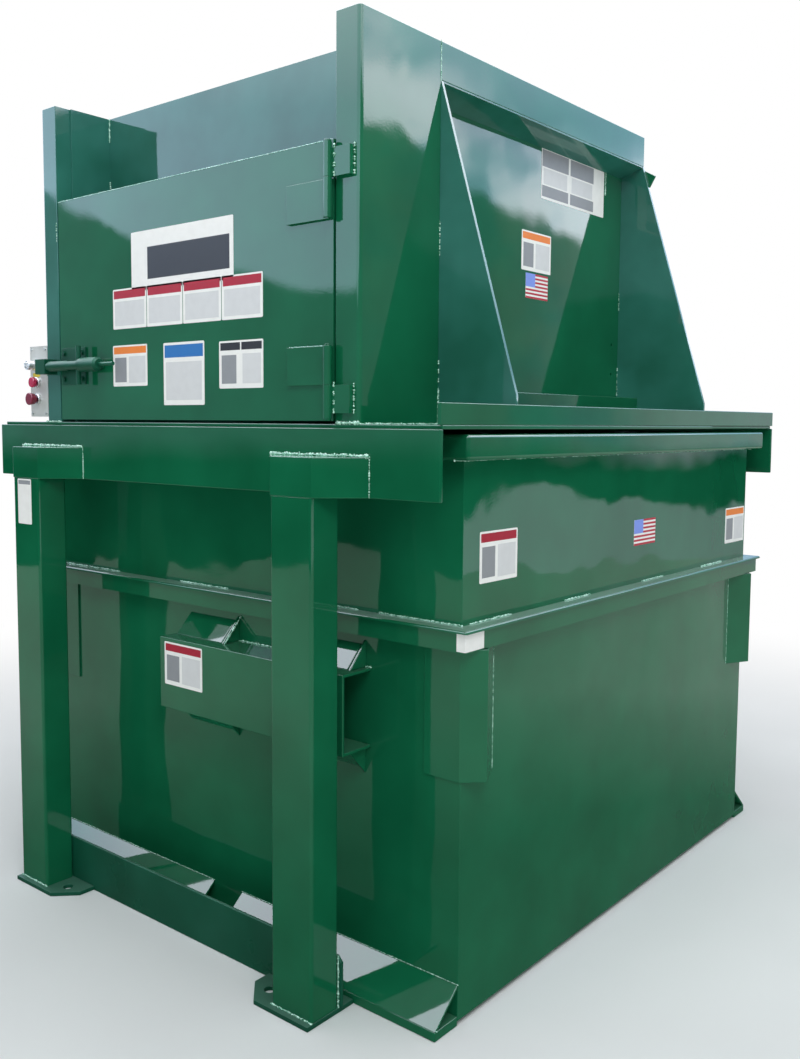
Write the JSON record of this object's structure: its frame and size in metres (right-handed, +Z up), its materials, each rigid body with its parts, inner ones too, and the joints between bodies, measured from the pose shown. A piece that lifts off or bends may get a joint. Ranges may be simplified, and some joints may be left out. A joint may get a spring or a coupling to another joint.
{
  "type": "vertical recycling compactor",
  "caption": "Vertical recycling compactor: a hopper with a side-hinged door on a four-legged stand, over a slide-out container with fork pockets.",
  "frame": {"origin": "on the floor, in the middle of the whole footprint", "axes": "+Z up, -Y the loading side with the door, +X the side where the container leaves"},
  "size_m": [1.91, 2.366, 2.524],
  "materials": {
    "green_paint": "gloss enamel",
    "dark_inside": "enamel, shaded",
    "control_grey": "satin light grey",
    "steel": "bare steel",
    "ground_rod": "ground and plated",
    "zinc": "zinc plated",
    "red_plastic": "moulded",
    "dark_red_plastic": "moulded"
  },
  "bodies": {
    "stand": {"front_beam": "green_paint", "back_beam": "green_paint", "end_beam": "green_paint", "ledge_plate": "green_paint", "deck_plate": "green_paint", "rear_deck": "green_paint", "legs": "green_paint", "leg_brackets": "green_paint", "base_plates": "green_paint", "guide_front": "green_paint", "guide_rear": "green_paint", "jamb_right": "green_paint", "jamb_left": "green_paint", "side_panel_right": "green_paint", "side_panel_left": "green_paint", "back_panel": "green_paint", "header_right": "green_paint", "header_left": "green_paint", "soffit": "green_paint", "curb": "green_paint", "wing_near": "green_paint", "wing_far": "green_paint", "wing_gusset": "green_paint", "post_left": "green_paint", "baffle": "green_paint", "top_cover": "green_paint", "hinge_blocks": "green_paint", "hinge_pins": "steel", "latch_keeper": "green_paint", "control_box": "control_grey", "control_cover": "control_grey", "cover_screws": "zinc", "button_collars": "zinc", "bearing_plates": "dark_inside", "cylinder_barrel": "dark_inside", "barrel_pin": "steel", "tower_plates": "dark_inside", "rear_housing": "green_paint"},
    "container": {"container_shell": "green_paint", "top_lip": "green_paint", "mid_rib": "green_paint", "corner_ears": "green_paint", "fork_pocket_front": "green_paint", "fork_pocket_rear": "green_paint", "pocket_wedges": "green_paint", "runners": "green_paint", "skid_plates": "green_paint"},
    "door": {"door_panel": "green_paint", "hinge_straps": "green_paint", "latch_plate": "green_paint", "latch_bolts": "zinc", "latch_guide": "green_paint"},
    "bolt": {"latch_bolt": "green_paint"},
    "packer": {"packing_head": "dark_inside", "head_shaft": "steel"},
    "ram": {"cylinder_rod": "ground_rod", "rod_pin": "steel"},
    "key_switch": {"key": "steel"},
    "stop": {"stop_button": "red_plastic"},
    "start": {"mushroom_button": "dark_red_plastic"}
  },
  "joints": [
    {"name": "container_slide", "type": "slide", "parent": "stand", "child": "container", "axis": [1, 0, 0], "range_m": [0, 1.9]},
    {"name": "door_hinge", "type": "hinge", "parent": "stand", "child": "door", "pos_m": [0.5985, -1.074, 1.525], "axis": [0, 0, 1], "range_deg": [0, 170]},
    {"name": "latch_slide", "type": "slide", "parent": "door", "child": "bolt", "axis": [-1, 0, 0], "range_m": [0, 0.045]},
    {"name": "packer_hinge", "type": "hinge", "parent": "stand", "child": "packer", "pos_m": [0, 0.365, 1.6], "axis": [1, 0, 0], "range_deg": [0, 75]},
    {"name": "ram_slide", "type": "slide", "parent": "stand", "child": "ram", "axis": [0, -0.8192, -0.5736], "range_m": [0, 0.397]},
    {"name": "key_turn", "type": "hinge", "parent": "stand", "child": "key_switch", "pos_m": [-0.745, -1.05, 1.71], "axis": [0, 1, 0], "range_deg": [0, 90]},
    {"name": "stop_press", "type": "slide", "parent": "stand", "child": "stop", "axis": [0, 1, 0], "range_m": [0, 0.005], "stiffness_N_per_m": 800},
    {"name": "start_press", "type": "slide", "parent": "stand", "child": "start", "axis": [0, 1, 0], "range_m": [0, 0.005], "stiffness_N_per_m": 800}
  ],
  "couplings": [
    {"joint": "ram_slide", "follows": "packer_hinge", "m_per_rad": 0.30252}
  ]
}
